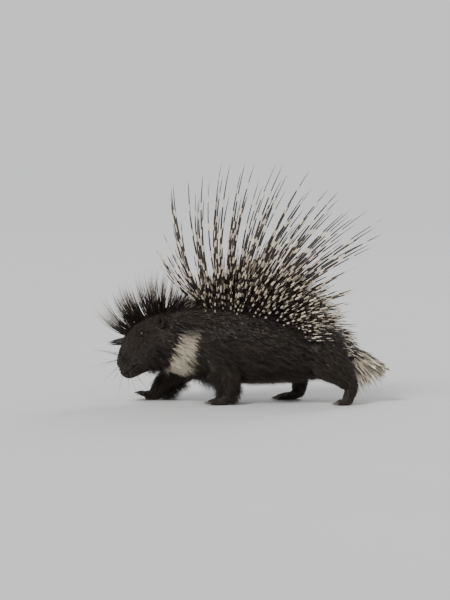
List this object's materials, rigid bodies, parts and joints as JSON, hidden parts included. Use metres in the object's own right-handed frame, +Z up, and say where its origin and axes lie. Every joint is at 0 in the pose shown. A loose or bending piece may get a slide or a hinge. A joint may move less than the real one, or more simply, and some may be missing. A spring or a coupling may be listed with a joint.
{
  "type": "crested porcupine model",
  "caption": "Life-size still model of a crested porcupine walking with its head low, its crest raised and its long quills fanned upright.",
  "frame": {"origin": "on the floor, under the middle of the animal's box", "axes": "-X the way the animal faces, -Y its left side, +Z up"},
  "size_m": [0.8822, 0.5356, 0.72],
  "materials": {
    "bristles": "coarse, dark brown hair",
    "quills": "smooth horn, banded dark brown and cream",
    "skin": "bare dark skin",
    "claws": "dark horn, satin",
    "eyes": "dark and wet"
  },
  "bodies": {
    "root": {"head": "bristles", "neck": "bristles", "torso": "quills", "rump": "quills", "tail": "quills", "front_left_leg": "bristles", "front_right_leg": "bristles", "hind_left_leg": "bristles", "hind_right_leg": "bristles", "eye_left": "eyes", "eye_right": "eyes", "ear_left": "skin", "ear_right": "skin"}
  },
  "joints": []
}
